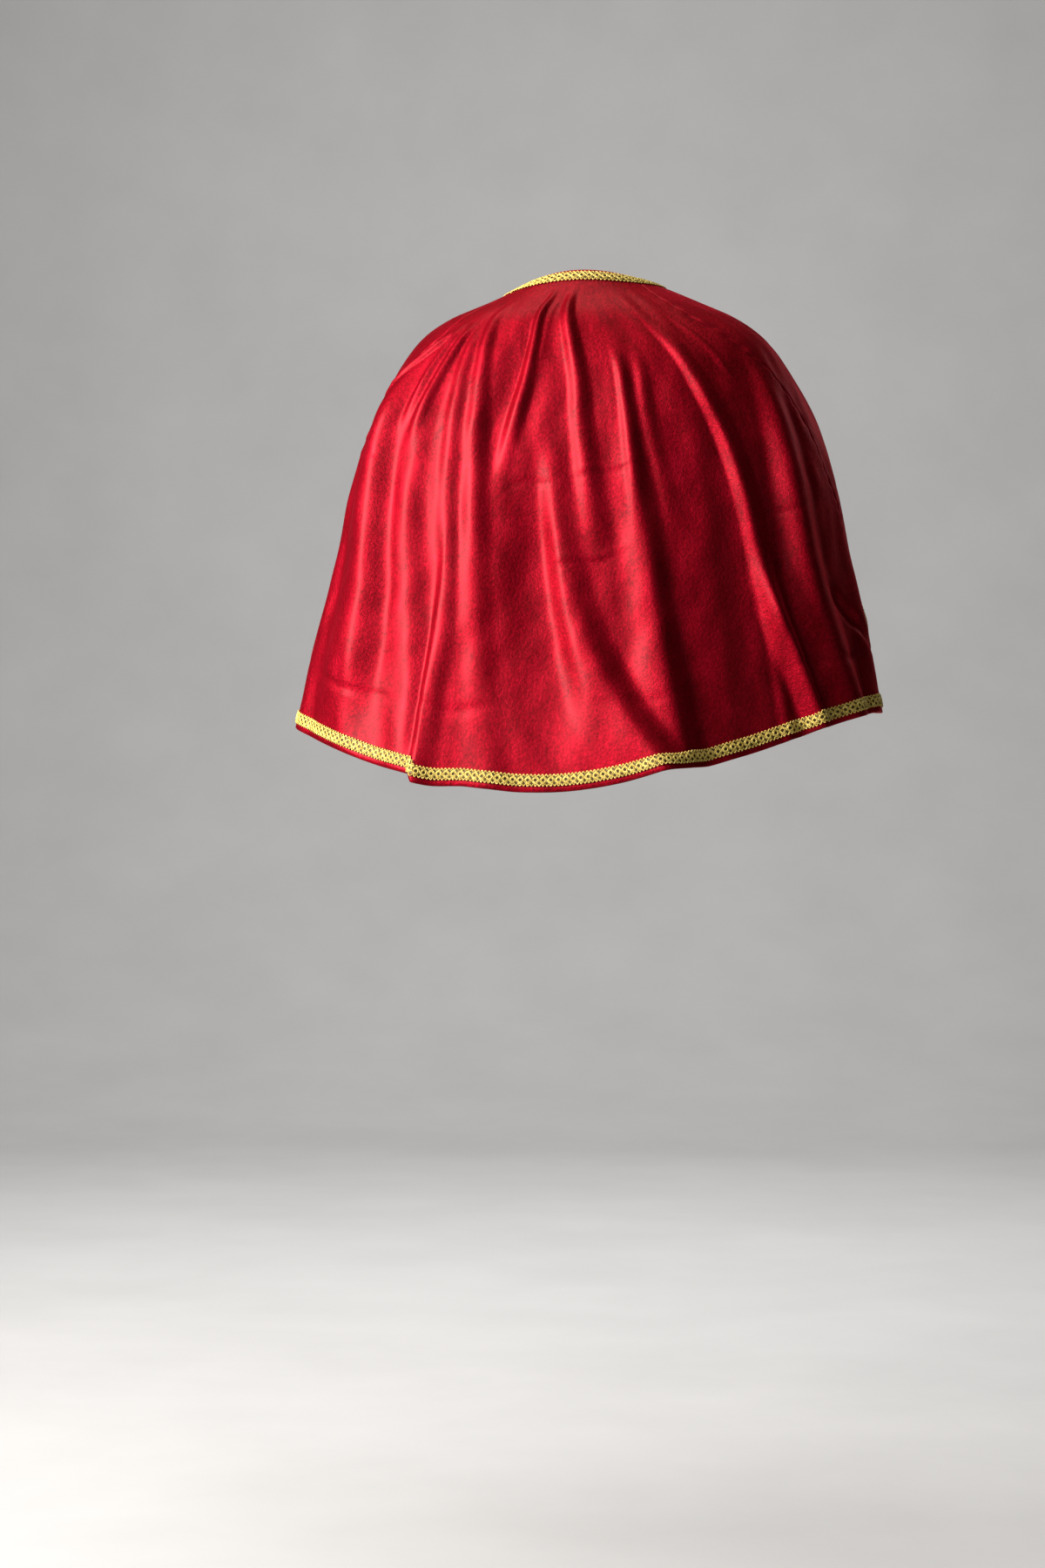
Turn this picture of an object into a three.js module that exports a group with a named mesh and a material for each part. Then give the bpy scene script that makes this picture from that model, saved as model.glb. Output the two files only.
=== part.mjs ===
import * as THREE from "three";

// Altar server cape: a shoulder cape of red velvet edged with gold gimp braid, in the hollow
// shape that it takes when worn. Millimetres, +Z up. The front opening faces -Y, +X is the left side,
// and the origin is the middle of the neck opening at the height of its two sides.

// Driving dimensions
const CLOTH = 2; // velvet wall
const GAP = 0.3; // clearance at seams and under what lies on a panel
const BRAID_WIDTH = 14;
const BRAID_THICKNESS = 1.4;
const NECK_MARGIN = 3; // bare velvet between the braid and each edge
const HEM_MARGIN = 6;
const FRONT_MARGIN = 6;
const BODY_ROWS = 20; // rows of facets between the neck braid and the hem braid
const BACK_COLUMNS = 84;
const FRONT_COLUMNS = 28;
const WIRE = 1.2; // hook and eye
const WIRE_SIDES = 6;
const WIRE_STEPS = 18;

// Rows of values as objects whose fields are named by the heading.
function table(heading, ...rows) {
  return rows.map((row) => Object.fromEntries(heading.map((name, i) => [name, row[i]])));
}

// Going down the cape from the neck (down = 0) to the hem (down = 1): how deep the section is behind and
// in front of the axis, how wide to each side, the height of its back, sides and front, how square it is
// (2 is an ellipse), how far it leans and shifts sideways, and the angles of its seams and front edges.
// Angles start at the centre back; the left side is +90 degrees, the right side is -90.
const LEVELS = table(
  ["down", "back", "backZ", "side", "sideZ", "front", "frontZ", "square", "tilt", "shift"].concat(
    ["seam", "rightEdge", "leftEdge"],
  ),
  [0.0, 72, 13, 83, 0, 80, -60, 2.0, 0.055, -5, 55, 179.4, 179.4],
  [0.06, 95, -17, 113, -11, 92, -90, 2.0, 0.055, 1, 53, 178.4, 178.4],
  [0.12, 119, -45, 151, -27, 103, -122, 2.1, 0.046, 5, 52, 177, 177],
  [0.18, 134, -80, 185, -46, 113, -154, 2.2, 0.04, 0, 53, 175, 175],
  [0.24, 145, -117, 215, -71, 122, -186, 2.3, 0.036, -6, 57, 172, 172.5],
  [0.32, 156, -167, 242, -112, 136, -230, 2.4, 0.036, -9, 64, 166.5, 168.5],
  [0.42, 166, -230, 270, -168, 154, -285, 2.4, 0.034, -11, 72, 157, 162],
  [0.54, 178, -306, 292, -238, 178, -345, 2.4, 0.03, -13, 78, 143, 153],
  [0.68, 194, -394, 309, -323, 204, -402, 2.3, 0.028, -13, 85, 127, 142],
  [0.84, 215, -498, 333, -418, 230, -450, 2.2, 0.022, -11, 89, 114.5, 134],
  [1.0, 238, -604, 353, -516, 252, -492, 2.2, 0.018, -9, 90, 117, 131],
);
const DROP_POWER = 2.5; // how closely the extra length of the back and front keeps to their middles

// Folds: each is a ridge that grows between the levels from and full and dies away between fade and gone.
// Its crest passes the four angles at the levels 0.1, 0.4, 0.7 and 1, rise is how far it stands out, and
// its left and right flanks have their own widths in degrees at the neck and at the hem. A negative rise
// is a trough.
const CREST_LEVELS = [0.1, 0.4, 0.7, 1];
const FOLDS = table(
  ["from", "full", "fade", "gone", "crest", "rise", "left", "right"],
  [0.2, 0.38, 1.1, 1.2, [41, 40.5, 34.6, 28.5], 8.5, [7, 7], [5.5, 6]],
  [0.14, 0.2, 1.1, 1.2, [36, 29.8, 25.5, 25.5], 3.5, [4, 4], [4, 4]],
  [0.45, 0.92, 1.1, 1.2, [26.3, 26.3, 26.3, 26], 8, [4, 4], [6, 8]],
  [0.06, 0.2, 1.1, 1.2, [29.5, 22.5, 18.2, 11.5], 5, [4, 5], [4, 5]],
  [0.35, 0.95, 1.1, 1.2, [29.5, 22.5, 18.2, 11.5], 7, [5, 10], [5, 6]],
  [0.1, 0.2, 0.34, 0.5, [10, 18, 17, 16], -5, [9, 8], [4, 4]],
  [0.34, 0.58, 0.75, 1, [14, 8, 3, -8], -12, [11, 13], [5, 6]],
  [0.03, 0.12, 0.36, 0.52, [7, 14, 12, 8], 4, [4, 4], [4, 4]],
  [0.22, 0.7, 1.1, 1.2, [12, 4, -4, -21], 7, [4, 7], [4.5, 7]],
  [0.6, 0.98, 1.1, 1.2, [12, 4, -4, -21], 20, [10, 21], [5, 6]],
  [0.04, 0.12, 0.42, 0.62, [-4.7, -5.4, -11, -18], 6, [4, 4], [4, 5]],
  [0.12, 0.7, 1.1, 1.2, [-18, -17.4, -20.2, -26], 12, [5, 9], [4, 5]],
  [0.7, 0.88, 1.1, 1.2, [-21, -21, -21, -26.5], 9, [8, 9], [4, 4]],
  [0.06, 0.45, 1.1, 1.2, [-32.5, -39.4, -44.6, -53.7], 10, [5.5, 6.5], [6, 6.5]],
  [0.62, 0.88, 1.1, 1.2, [-44.5, -44.5, -44.5, -53.7], 11, [6.5, 6.5], [6, 6]],
  [0.2, 0.62, 1.1, 1.2, [-74, -56.8, -56, -65], 21, [6, 6.5], [10, 11]],
  [0.22, 0.38, 0.86, 1.05, [58, 53.5, 47, 46], 19, [10, 12], [8.5, 8]],
  [0.35, 0.9, 1.1, 1.2, [-90, -86, -82, -80], 7, [8, 8], [8, 8]],
  [0.3, 0.85, 1.1, 1.2, [78, 70, 65, 62], 9, [9, 10], [6, 6]],
  [0.35, 0.9, 1.1, 1.2, [100, 97, 94, 91], 8, [8, 9], [7, 8]],
  [0.25, 0.6, 1.1, 1.2, [120, 115, 111, 108], 9, [9, 9], [7, 8]],
  [0.2, 0.5, 1.1, 1.2, [160, 147, 137, 126], 7, [8, 7], [8, 7]],
  [0.12, 0.4, 0.58, 0.8, [-156, -140, -119, -110], 7, [9, 8], [9, 8]],
  [0.66, 0.86, 0.9, 1.02, [-119, -119, -119, -120], 38, [10, 10], [9, 9]],
);
// Near the hem the cloth folds over itself, and there the upper layer hangs lower than the one beside it.
const OVERLAP = { crest: 26.2, left: 3.2, right: 11, from: 0.72, drop: 9.5 };

const velvet = new THREE.MeshStandardMaterial({ color: 0xa8061e, roughness: 0.75, metalness: 0 });
const gold = new THREE.MeshStandardMaterial({ color: 0xd2a83c, roughness: 0.45, metalness: 0.6 });
const steel = new THREE.MeshStandardMaterial({ color: 0x8b8d90, roughness: 0.35, metalness: 1 });

// Smooth curve through the values at the given stations, used for every row of the tables above.
function curveThrough(stations, values) {
  const last = stations.length - 1;
  const chord = (i) => (values[i + 1] - values[i]) / (stations[i + 1] - stations[i]);
  const slopes = values.map((_, i) => {
    if (i === 0 || i === last) return chord(i === 0 ? 0 : last - 1);
    const before = stations[i] - stations[i - 1];
    const after = stations[i + 1] - stations[i];
    return (chord(i - 1) * after + chord(i) * before) / (before + after);
  });
  return (at) => {
    let i = 0;
    while (i < last - 1 && at >= stations[i + 1]) i += 1;
    const span = stations[i + 1] - stations[i];
    const s = (at - stations[i]) / span;
    return (
      (2 * s ** 3 - 3 * s ** 2 + 1) * values[i] +
      (s ** 3 - 2 * s ** 2 + s) * span * slopes[i] +
      (3 * s ** 2 - 2 * s ** 3) * values[i + 1] +
      (s ** 3 - s ** 2) * span * slopes[i + 1]
    );
  };
}

const levelStations = LEVELS.map((level) => level.down);
const column = (name) => curveThrough(levelStations, LEVELS.map((level) => level[name]));
const back = column("back");
const backZ = column("backZ");
const side = column("side");
const sideZ = column("sideZ");
const front = column("front");
const frontZ = column("frontZ");
const square = column("square");
const tilt = column("tilt");
const shift = column("shift");
const seam = column("seam");
const rightEdge = column("rightEdge");
const leftEdge = column("leftEdge");
const crests = FOLDS.map((fold) => curveThrough(CREST_LEVELS, fold.crest));

const radians = THREE.MathUtils.degToRad;
const smooth = (low, high, value) => THREE.MathUtils.smoothstep(value, low, high);

// The cloth without its folds, at an angle in radians and a level.
function plainPoint(angle, down) {
  const sin = Math.sin(angle);
  const cos = Math.cos(angle);
  const power = square(down);
  const reach = (Math.abs(sin) ** power + Math.abs(cos) ** power) ** (-1 / power);
  const x = side(down) * reach * sin + shift(down);
  const y = (cos > 0 ? back(down) : front(down)) * reach * cos;
  const middle = Math.abs(cos) ** DROP_POWER;
  const low = cos > 0 ? backZ(down) : frontZ(down);
  const z = sideZ(down) * (1 - middle) + low * middle - tilt(down) * x;
  return new THREE.Vector3(x, y, z);
}

function outward(pointOf, angle, down) {
  const step = 1e-3;
  const top = Math.max(down - step, 0);
  const low = Math.min(down + step, 1);
  const along = pointOf(angle + step, down).sub(pointOf(angle - step, down));
  const below = pointOf(angle, low).sub(pointOf(angle, top));
  return along.cross(below).normalize();
}

// A ridge's height from 1 at its crest to 0 at its foot.
const bump = (share) => 0.5 + 0.5 * Math.cos(Math.PI * Math.min(Math.abs(share), 1));

function foldLift(angle, down) {
  const degrees = THREE.MathUtils.radToDeg(angle);
  return FOLDS.reduce((sum, fold, i) => {
    const offset = degrees - crests[i](down);
    const flank = offset > 0 ? fold.left : fold.right;
    const width = THREE.MathUtils.lerp(flank[0], flank[1], down);
    const grown = smooth(fold.from, fold.full, down) * (1 - smooth(fold.fade, fold.gone, down));
    return sum + fold.rise * grown * bump(offset / width);
  }, 0);
}

// The outer face of the velvet.
function clothPoint(angle, down) {
  const offset = THREE.MathUtils.radToDeg(angle) - OVERLAP.crest;
  const lap = bump(offset / (offset > 0 ? OVERLAP.left : OVERLAP.right));
  const point = plainPoint(angle, down);
  point.addScaledVector(outward(plainPoint, angle, down), foldLift(angle, down));
  point.z -= OVERLAP.drop * lap * smooth(OVERLAP.from, 1, down);
  return point;
}

// Millimetres of cloth for each radian round the cape, and for each whole step down it.
function spread(angle, down) {
  const step = 1e-3;
  const low = Math.min(down + step, 1);
  const top = low - step;
  return {
    round: clothPoint(angle + step, down).distanceTo(clothPoint(angle - step, down)) / (2 * step),
    down: clothPoint(angle, low).distanceTo(clothPoint(angle, top)) / step,
  };
}

// Where the rows of facets run: the neck edge, both edges of the neck braid, the plain cloth, both edges
// of the hem braid and the hem. The same rows carry the panels and the braids on them.
const NECK_ROW = 1;
const HEM_ROW = NECK_ROW + 1 + BODY_ROWS;
function rowLevels(angle) {
  const atNeck = spread(angle, 0).down;
  const atHem = spread(angle, 1).down;
  const neckLow = (NECK_MARGIN + BRAID_WIDTH) / atNeck;
  const hemHigh = 1 - (HEM_MARGIN + BRAID_WIDTH) / atHem;
  const body = Array.from({ length: BODY_ROWS + 1 }, (_, i) =>
    THREE.MathUtils.lerp(neckLow, hemHigh, i / BODY_ROWS),
  );
  return [0, NECK_MARGIN / atNeck, ...body, 1 - HEM_MARGIN / atHem, 1];
}

// Angles of a panel's columns at one level. A front panel ends with the two edges of its braid.
const seamAngle = (down) => radians(seam(down));
const backColumns = (down) => {
  const half = seamAngle(down) - GAP / 2 / spread(seamAngle(down), down).round;
  return Array.from({ length: BACK_COLUMNS + 1 }, (_, j) => half * ((2 * j) / BACK_COLUMNS - 1));
};
const frontColumns = (way, edge) => (down) => {
  const start = way * (seamAngle(down) + GAP / 2 / spread(way * seamAngle(down), down).round);
  const end = way * radians(edge(down));
  const perRadian = spread(end, down).round;
  const inner = end - (way * (FRONT_MARGIN + BRAID_WIDTH)) / perRadian;
  const plain = Array.from({ length: FRONT_COLUMNS - 1 }, (_, j) =>
    THREE.MathUtils.lerp(start, inner, j / (FRONT_COLUMNS - 2)),
  );
  const all = [...plain, end - (way * FRONT_MARGIN) / perRadian, end];
  return way > 0 ? all : all.reverse();
};

// A panel's grid: rows of points with the direction out of the cloth at each.
function panelGrid(columnsAt) {
  const levels = columnsAt(0.5).map(rowLevels);
  return levels[0].map((_, i) =>
    levels.map((column, j) => {
      const down = column[i];
      const angle = columnsAt(down)[j];
      return { point: clothPoint(angle, down), out: outward(clothPoint, angle, down) };
    }),
  );
}

// A closed wall over a grid, from low to high above the grid's own points.
function wall(name, material, grid, low, high) {
  const rows = grid.length;
  const columns = grid[0].length;
  const positions = [];
  const faces = [];
  [high, low].forEach((height) =>
    grid.flat().forEach(({ point, out }) =>
      positions.push(...point.clone().addScaledVector(out, height).toArray()),
    ),
  );
  const outer = (i, j) => i * columns + j;
  const inner = (i, j) => rows * columns + i * columns + j;
  const quad = (a, b, c, d) => faces.push(a, b, c, b, d, c);
  for (let i = 0; i < rows - 1; i += 1) {
    for (let j = 0; j < columns - 1; j += 1) {
      quad(outer(i, j), outer(i, j + 1), outer(i + 1, j), outer(i + 1, j + 1));
      faces.push(inner(i, j), inner(i + 1, j), inner(i, j + 1));
      faces.push(inner(i, j + 1), inner(i + 1, j), inner(i + 1, j + 1));
    }
    quad(inner(i, 0), outer(i, 0), inner(i + 1, 0), outer(i + 1, 0));
    quad(outer(i, columns - 1), inner(i, columns - 1), outer(i + 1, columns - 1), inner(i + 1, columns - 1));
  }
  for (let j = 0; j < columns - 1; j += 1) {
    quad(inner(0, j), inner(0, j + 1), outer(0, j), outer(0, j + 1));
    quad(outer(rows - 1, j), outer(rows - 1, j + 1), inner(rows - 1, j), inner(rows - 1, j + 1));
  }
  const geometry = new THREE.BufferGeometry();
  geometry.setAttribute("position", new THREE.Float32BufferAttribute(positions, 3));
  geometry.setIndex(faces);
  geometry.computeVertexNormals();
  const mesh = new THREE.Mesh(geometry, material);
  mesh.name = name;
  return mesh;
}

const backGrid = panelGrid(backColumns);
const rightGrid = panelGrid(frontColumns(-1, rightEdge));
const leftGrid = panelGrid(frontColumns(1, leftEdge));

// The neck and hem braids run on over the seams, so they leave out one column of the back at each seam
// and stop at the outer edge of the front braids.
const acrossAll = (i) => [...rightGrid[i].slice(1), ...backGrid[i].slice(1, -1), ...leftGrid[i].slice(0, -1)];

const between = (from, to, share) => ({
  point: from.point.clone().lerp(to.point, share),
  out: from.out.clone().lerp(to.out, share).normalize(),
});
// The braid down a front edge starts just under the neck braid and ends just over the hem braid.
function frontBraidGrid(grid, from) {
  const strip = grid.slice(NECK_ROW + 1, HEM_ROW + 1).map((row) => row.slice(from, from + 2));
  const trimmed = (end, next) =>
    end.map((place, j) => between(place, next[j], GAP / place.point.distanceTo(next[j].point)));
  const first = trimmed(strip[0], strip[1]);
  const last = trimmed(strip[strip.length - 1], strip[strip.length - 2]);
  return [first, ...strip.slice(1, -1), last];
}

function panels() {
  return [
    wall("back", velvet, backGrid, -CLOTH, 0),
    wall("front_right", velvet, rightGrid, -CLOTH, 0),
    wall("front_left", velvet, leftGrid, -CLOTH, 0),
  ];
}

function braids() {
  const lie = (name, grid) => wall(name, gold, grid, GAP, GAP + BRAID_THICKNESS);
  return [
    lie("neck_braid", [acrossAll(NECK_ROW), acrossAll(NECK_ROW + 1)]),
    lie("hem_braid", [acrossAll(HEM_ROW), acrossAll(HEM_ROW + 1)]),
    lie("front_braid_right", frontBraidGrid(rightGrid, 1)),
    lie("front_braid_left", frontBraidGrid(leftGrid, FRONT_COLUMNS - 2)),
  ];
}

// A place inside the neck edge at the centre front: along runs to the left, low is the distance
// under the neck edge and deep the distance inside the velvet.
function insideNeck({ along, low, deep }) {
  const { round, down } = spread(Math.PI, 0.01);
  const angle = (along > 0 ? 1 : -1) * (Math.PI - Math.abs(along) / round);
  const level = low / down;
  return clothPoint(angle, level).addScaledVector(outward(clothPoint, angle, level), -CLOTH - GAP - deep);
}

function wireAlong(name, places) {
  const path = new THREE.CatmullRomCurve3(places.map(insideNeck), false, "centripetal");
  const ring = new THREE.Shape();
  for (let k = 0; k < WIRE_SIDES; k += 1) {
    const turn = (2 * Math.PI * k) / WIRE_SIDES;
    const corner = [(WIRE / 2) * Math.cos(turn), (WIRE / 2) * Math.sin(turn)];
    if (k === 0) ring.moveTo(...corner);
    else ring.lineTo(...corner);
  }
  const drawn = { steps: WIRE_STEPS, bevelEnabled: false, extrudePath: path };
  const geometry = new THREE.ExtrudeGeometry(ring, drawn);
  const mesh = new THREE.Mesh(geometry, steel);
  mesh.name = name;
  return mesh;
}

// The hook is sewn inside the left front and bends back round the bar of the eye on the right front.
function hookAndEye() {
  const flat = WIRE / 2;
  const bar = flat + WIRE + GAP; // the bar of the eye stands off the velvet, inside the hook
  const tip = flat + 2 * (WIRE + GAP);
  return [
    wireAlong("hook", [
      { along: 12, low: 9, deep: flat },
      { along: 6, low: 9, deep: flat },
      { along: 0, low: 9, deep: flat },
      { along: -3, low: 9, deep: bar },
      { along: 0, low: 9, deep: tip },
      { along: 3, low: 9, deep: tip },
    ]),
    wireAlong("eye", [
      { along: -12, low: 5.5, deep: flat },
      { along: -6, low: 5, deep: flat },
      { along: -2.2, low: 5, deep: bar },
      { along: -0.6, low: 7, deep: bar },
      { along: -0.6, low: 11, deep: bar },
      { along: -2.2, low: 13, deep: bar },
      { along: -6, low: 13, deep: flat },
      { along: -12, low: 12.5, deep: flat },
    ]),
  ];
}

const cape = new THREE.Group();
cape.add(...panels(), ...braids(), ...hookAndEye());
export default cape;
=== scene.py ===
# Altar server cape: crimson velvet edged with gold gimp braid, in the hollow shape it has when worn.
# Metres. The front opening faces -Y, +X is the left side, the origin is the middle of the neck opening.
import math
import bpy
import numpy as np
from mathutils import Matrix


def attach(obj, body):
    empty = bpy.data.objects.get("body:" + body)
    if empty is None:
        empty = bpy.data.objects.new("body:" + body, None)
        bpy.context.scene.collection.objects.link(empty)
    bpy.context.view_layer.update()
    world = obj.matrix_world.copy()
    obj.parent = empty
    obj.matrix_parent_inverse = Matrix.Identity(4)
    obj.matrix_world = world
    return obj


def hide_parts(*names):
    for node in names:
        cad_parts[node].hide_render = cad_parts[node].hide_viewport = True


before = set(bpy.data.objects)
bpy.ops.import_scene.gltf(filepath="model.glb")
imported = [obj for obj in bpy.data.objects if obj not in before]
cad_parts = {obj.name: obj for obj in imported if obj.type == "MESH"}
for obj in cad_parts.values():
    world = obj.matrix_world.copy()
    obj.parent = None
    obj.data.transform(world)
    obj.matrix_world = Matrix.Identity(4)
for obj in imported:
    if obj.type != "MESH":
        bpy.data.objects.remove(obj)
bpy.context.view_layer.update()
print("frame loaded,", len(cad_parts), "nodes")

millimetre = 0.001

# The form of the cape, level by level from the neck (0) to the hem (1), in millimetres and degrees.
# Angles start at the centre back: the left side is +90 and the right side is -90.
levelColumns = ("down", "back", "backZ", "side", "sideZ", "front", "frontZ",
                "square", "tilt", "shift", "seam", "rightEdge", "leftEdge")
levelRows = [
    (0.00, 72, 13, 83, 0, 80, -60, 2.0, 0.055, -5, 55, 179.4, 179.4),
    (0.06, 95, -17, 113, -11, 92, -90, 2.0, 0.055, 1, 53, 178.4, 178.4),
    (0.12, 119, -45, 151, -27, 103, -122, 2.1, 0.046, 5, 52, 177, 177),
    (0.18, 134, -80, 185, -46, 113, -154, 2.2, 0.040, 0, 53, 175, 175),
    (0.24, 145, -117, 215, -71, 122, -186, 2.3, 0.036, -6, 57, 172, 172.5),
    (0.32, 156, -167, 242, -112, 136, -230, 2.4, 0.036, -9, 64, 166.5, 168.5),
    (0.42, 166, -230, 270, -168, 154, -285, 2.4, 0.034, -11, 72, 157, 162),
    (0.54, 178, -306, 292, -238, 178, -345, 2.4, 0.030, -13, 78, 143, 153),
    (0.68, 194, -394, 309, -323, 204, -402, 2.3, 0.028, -13, 85, 127, 142),
    (0.84, 215, -498, 333, -418, 230, -450, 2.2, 0.022, -11, 89, 114.5, 134),
    (1.00, 238, -604, 353, -516, 252, -492, 2.2, 0.018, -9, 90, 117, 131),
]
levels = {name: [row[i] for row in levelRows] for i, name in enumerate(levelColumns)}
dropPower = 2.5  # how closely the extra length of the back and front keeps to their middles

# Folds: where each starts and is full, where it fades and is gone, the angles of its crest at the
# crest levels, its rise in millimetres, and the widths of its flanks in degrees at the neck and hem.
crestLevels = (0.1, 0.4, 0.7, 1.0)
foldColumns = ("start", "full", "fade", "gone", "crest", "rise", "left", "right")
largeFolds = [
    (0.20, 0.38, 1.1, 1.2, (41, 40.5, 34.6, 28.5), 7, (8, 8.5), (5.5, 6)),
    (0.14, 0.20, 1.1, 1.2, (36, 29.8, 25.5, 25.5), 3.5, (3.5, 3.5), (3, 4)),
    (0.45, 0.92, 1.1, 1.2, (26.3, 26.3, 26.3, 26), 8, (2.8, 1.8), (6, 9)),
    (0.06, 0.20, 0.62, 1.0, (29.5, 22.5, 18.2, 11.5), 5, (3.5, 5), (3.6, 5)),
    (0.35, 0.95, 1.1, 1.2, (29.5, 22.5, 18.2, 11.5), 4.5, (5, 12), (5, 6)),
    (0.10, 0.20, 0.34, 0.50, (10, 18, 17, 16), -5, (9, 8), (3, 3)),
    (0.34, 0.58, 0.75, 1.00, (14, 8, 3, -8), -12, (11, 13), (5, 6)),
    (0.03, 0.12, 0.28, 0.40, (7, 14, 12, 8), 5, (3.6, 2.4), (3, 3)),
    (0.22, 0.70, 1.1, 1.2, (12, 4, -4, -21), 6, (3.5, 7), (4.5, 7)),
    (0.60, 0.98, 1.1, 1.2, (12, 4, -4, -21), 20, (10, 21), (5, 6)),
    (0.04, 0.12, 0.42, 0.62, (-4.7, -5.4, -11, -18), 6, (4, 4), (4, 5)),
    (0.12, 0.70, 1.1, 1.2, (-18, -17.4, -20.2, -26), 12, (5, 9), (4, 5)),
    (0.70, 0.88, 1.1, 1.2, (-20, -20, -20, -25), 9, (9, 12), (4, 5)),
    (0.18, 0.28, 0.40, 0.58, (-26, -22.3, -30, -38), 2.5, (2.5, 3), (3, 3)),
    (0.06, 0.45, 1.1, 1.2, (-32.5, -39.4, -44.6, -53.7), 10, (2.5, 3.4), (4.5, 5)),
    (0.62, 0.82, 1.1, 1.2, (-44.5, -44.5, -44.5, -53.7), 16, (4, 4), (4, 4)),
    (0.20, 0.62, 1.1, 1.2, (-74, -56.8, -56, -65), 21, (6, 6.5), (10, 11)),
    (0.22, 0.38, 0.80, 1.05, (58, 53.5, 48, 48), 18, (10, 20), (8.5, 9)),
    (0.35, 0.90, 1.1, 1.2, (-90, -86, -82, -80), 7, (8, 8), (8, 8)),
    (0.30, 0.85, 1.1, 1.2, (80, 73, 69, 67), 6, (9, 10), (7, 8)),
    (0.35, 0.90, 1.1, 1.2, (100, 97, 94, 91), 8, (8, 9), (7, 8)),
    (0.25, 0.60, 1.1, 1.2, (120, 115, 111, 108), 9, (9, 9), (7, 8)),
    (0.20, 0.50, 1.1, 1.2, (160, 147, 137, 126), 7, (8, 7), (8, 7)),
    (0.12, 0.40, 0.58, 0.80, (-156, -140, -119, -110), 7, (9, 8), (9, 8)),
    (0.66, 0.86, 0.90, 1.02, (-119, -119, -119, -120), 38, (10, 10), (9, 9)),
]
# Smaller creases and troughs that only the cloth's surface has.
smallFolds = [
    (0.04, 0.12, 0.40, 0.55, (0, 12, 10, 8), -1.2, (2.5, 2.5), (5, 5)),
    (0.13, 0.19, 0.30, 0.44, (37.5, 41.8, 41, 40), 4.5, (2.6, 2.6), (2.8, 2.8)),
    (0.19, 0.27, 0.42, 0.60, (-18.5, -17, -18, -20), 4.5, (2.2, 2.6), (3, 3)),
    (0.35, 0.70, 1.1, 1.2, (-36, -36, -38, -40), -3, (4, 6), (3, 5)),
    (0.66, 0.80, 1.1, 1.2, (-43, -43, -44.5, -47), 4, (2, 2.5), (2, 2.5)),
    (0.72, 0.82, 0.92, 1.0, (-60, -60, -60, -108), -7, (6, 6), (4, 4)),
    (0.13, 0.19, 0.32, 0.42, (43.5, 46.5, 46, 46), 4.5, (2.6, 2.6), (2.6, 2.6)),
    (0.14, 0.20, 0.31, 0.39, (40, 68, 70, 70), 4, (2.6, 2.6), (2.6, 2.6)),
    (0.16, 0.22, 0.28, 0.34, (-42, -50, -50, -50), 1.4, (2, 2), (2, 2)),
    (0.20, 0.40, 0.60, 0.80, (78, 76, 74, 72), -2.5, (3, 4), (3, 4)),
    (0.25, 0.45, 0.70, 0.90, (108, 106, 103, 100), -3, (3, 4), (3, 4)),
    (0.15, 0.30, 0.55, 0.75, (135, 130, 124, 120), -2.5, (3, 3), (3, 3)),
    (0.10, 0.25, 0.45, 0.60, (168, 158, 150, 150), 2, (3, 3), (3, 3)),
    (0.15, 0.35, 0.60, 0.80, (-100, -98, -96, -95), -3, (3, 4), (3, 4)),
    (0.12, 0.28, 0.50, 0.66, (-138, -128, -118, -112), -2.5, (3, 4), (3, 4)),
    (0.10, 0.24, 0.40, 0.55, (-168, -156, -150, -150), 2.2, (3, 3), (3, 3)),
]
folds = [dict(zip(foldColumns, row)) for row in largeFolds + smallFolds]
# Where the cloth folds over itself near the hem, the upper layer hangs lower than the one beside it.
overlap = {"crest": 26.2, "left": 1.3, "right": 11.0, "start": 0.72, "drop": 9.5}

# Creases that run across the cape: two from storage, and the top of the turned hem showing through.
# Level, angles where it starts and ends, how far the level climbs along it, rise and half width.
crossColumns = ("level", "begin", "end", "climb", "rise", "reach")
crossCreases = [dict(zip(crossColumns, row)) for row in [
    (0.446, -1, 15, 0.010, -0.9, 0.009),
    (0.425, -24, 1, 0.014, 0.7, 0.009),
    (0.436, -19, -2, 0.012, -0.8, 0.008),
    (0.585, -17, 5, 0.012, 0.8, 0.010),
    (0.600, -13, 3, 0.010, -0.8, 0.009),
    (0.440, 46, 62, 0.008, -0.9, 0.010),
    (0.590, -60, -42, 0.010, -0.9, 0.010),
    (0.870, 10, 32, 0.006, -1.2, 0.018),
    (0.885, 32, 66, 0.010, -1.3, 0.012),
    (0.865, -34, -6, -0.006, -0.7, 0.014),
    (0.885, -78, -44, -0.020, -1.6, 0.013),
    (0.880, 66, 128, 0.010, -1.1, 0.012),
    (0.880, -112, -78, 0.010, -1.1, 0.012),
    (0.440, 98, 128, -0.008, 1.0, 0.009),
    (0.585, 104, 138, 0.010, -1.1, 0.009),
    (0.440, -138, -106, 0.008, -1.0, 0.009),
    (0.330, 128, 158, 0.010, 0.9, 0.009),
]]


def curveThrough(stations, values, at):
    # the smooth curve through the values at their stations
    stations = np.asarray(stations, float)
    values = np.asarray(values, float)
    step = np.diff(stations)
    chord = np.diff(values) / step
    slope = np.empty_like(values)
    slope[0] = chord[0]
    slope[-1] = chord[-1]
    slope[1:-1] = (chord[:-1] * step[1:] + chord[1:] * step[:-1]) / (step[1:] + step[:-1])
    i = np.clip(np.searchsorted(stations, at, side="right") - 1, 0, len(step) - 1)
    s = (at - stations[i]) / step[i]
    return ((2 * s ** 3 - 3 * s ** 2 + 1) * values[i] + (s ** 3 - 2 * s ** 2 + s) * step[i] * slope[i]
            + (3 * s ** 2 - 2 * s ** 3) * values[i + 1] + (s ** 3 - s ** 2) * step[i] * slope[i + 1])


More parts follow.
